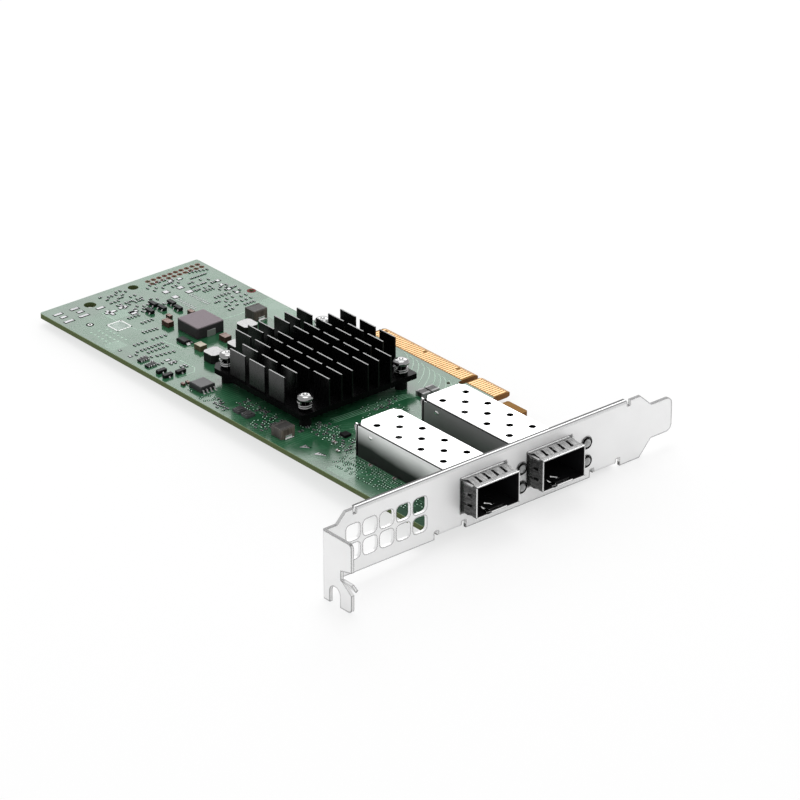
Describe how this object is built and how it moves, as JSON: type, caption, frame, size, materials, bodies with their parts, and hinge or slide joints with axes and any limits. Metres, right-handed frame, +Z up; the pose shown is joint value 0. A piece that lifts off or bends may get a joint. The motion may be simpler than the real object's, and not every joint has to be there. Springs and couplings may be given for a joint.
{
  "type": "network interface card",
  "caption": "Half-length expansion card with an edge connector, a finned heatsink, open port cages for pluggable modules and a full-height slotted bracket.",
  "frame": {"origin": "centre of the key notch, on the tips of the edge contacts, at mid-thickness of the board", "axes": "+X towards the bracket, +Y out through the contact tips, +Z up from the component side"},
  "size_m": [0.1793, 0.12, 0.0224],
  "materials": {
    "board": "satin solder mask over glass laminate",
    "contacts": "gold plated",
    "bracket": "nickel-plated steel sheet",
    "fasteners": "nickel-plated",
    "cage": "nickel silver sheet",
    "spring_sheet": "tinned spring sheet",
    "housing": "moulded, matt",
    "light_pipe": "clear moulding, frosted",
    "lamp": "moulded, milky",
    "heatsink": "black anodised",
    "standoff": "moulded, matt",
    "thermal_pad": "soft, matt",
    "chip": "moulded, fine grained",
    "ferrite": "ground ferrite",
    "tin": "tinned, satin",
    "capacitor": "fired ceramic",
    "bulk_capacitor": "moulded, matt",
    "bulk_terminal": "dull plated",
    "crystal": "fired ceramic",
    "filter": "fired ceramic",
    "resistor": "glazed"
  },
  "bodies": {
    "root": {"bracket_screws": "fasteners", "bulk_capacitor_caps": "bulk_terminal", "bulk_capacitors": "bulk_capacitor", "capacitor_end_caps": "tin", "ceramic_capacitors": "capacitor", "choke_terminals": "tin", "circuit_board": "board", "clock_crystals": "crystal", "controller_chip": "chip", "crystal_lids": "tin", "diode": "chip", "diode_leads": "tin", "filter_end_caps": "tin", "flash_chip": "chip", "flash_chip_leads": "tin", "heatsink": "heatsink", "heatsink_screws": "fasteners", "heatsink_springs": "fasteners", "heatsink_standoffs": "standoff", "inductor_feet": "tin", "line_filters": "filter", "logic_chip": "chip", "lower_contacts": "contacts", "mounting_bracket": "bracket", "network_terminals": "tin", "port_1_cage": "cage", "port_1_cage_floor": "cage", "port_1_connector": "housing", "port_1_contact_blades": "contacts", "port_1_gasket": "spring_sheet", "port_1_light_pipe": "light_pipe", "port_2_cage": "cage", "port_2_cage_floor": "cage", "port_2_connector": "housing", "port_2_contact_blades": "contacts", "port_2_gasket": "spring_sheet", "port_2_light_pipe": "light_pipe", "power_choke": "ferrite", "resistor_networks": "resistor", "small_inductors": "ferrite", "status_lamps": "lamp", "thermal_pad": "thermal_pad", "transistor_leads": "tin", "transistors": "chip", "upper_contacts": "contacts"}
  },
  "joints": []
}
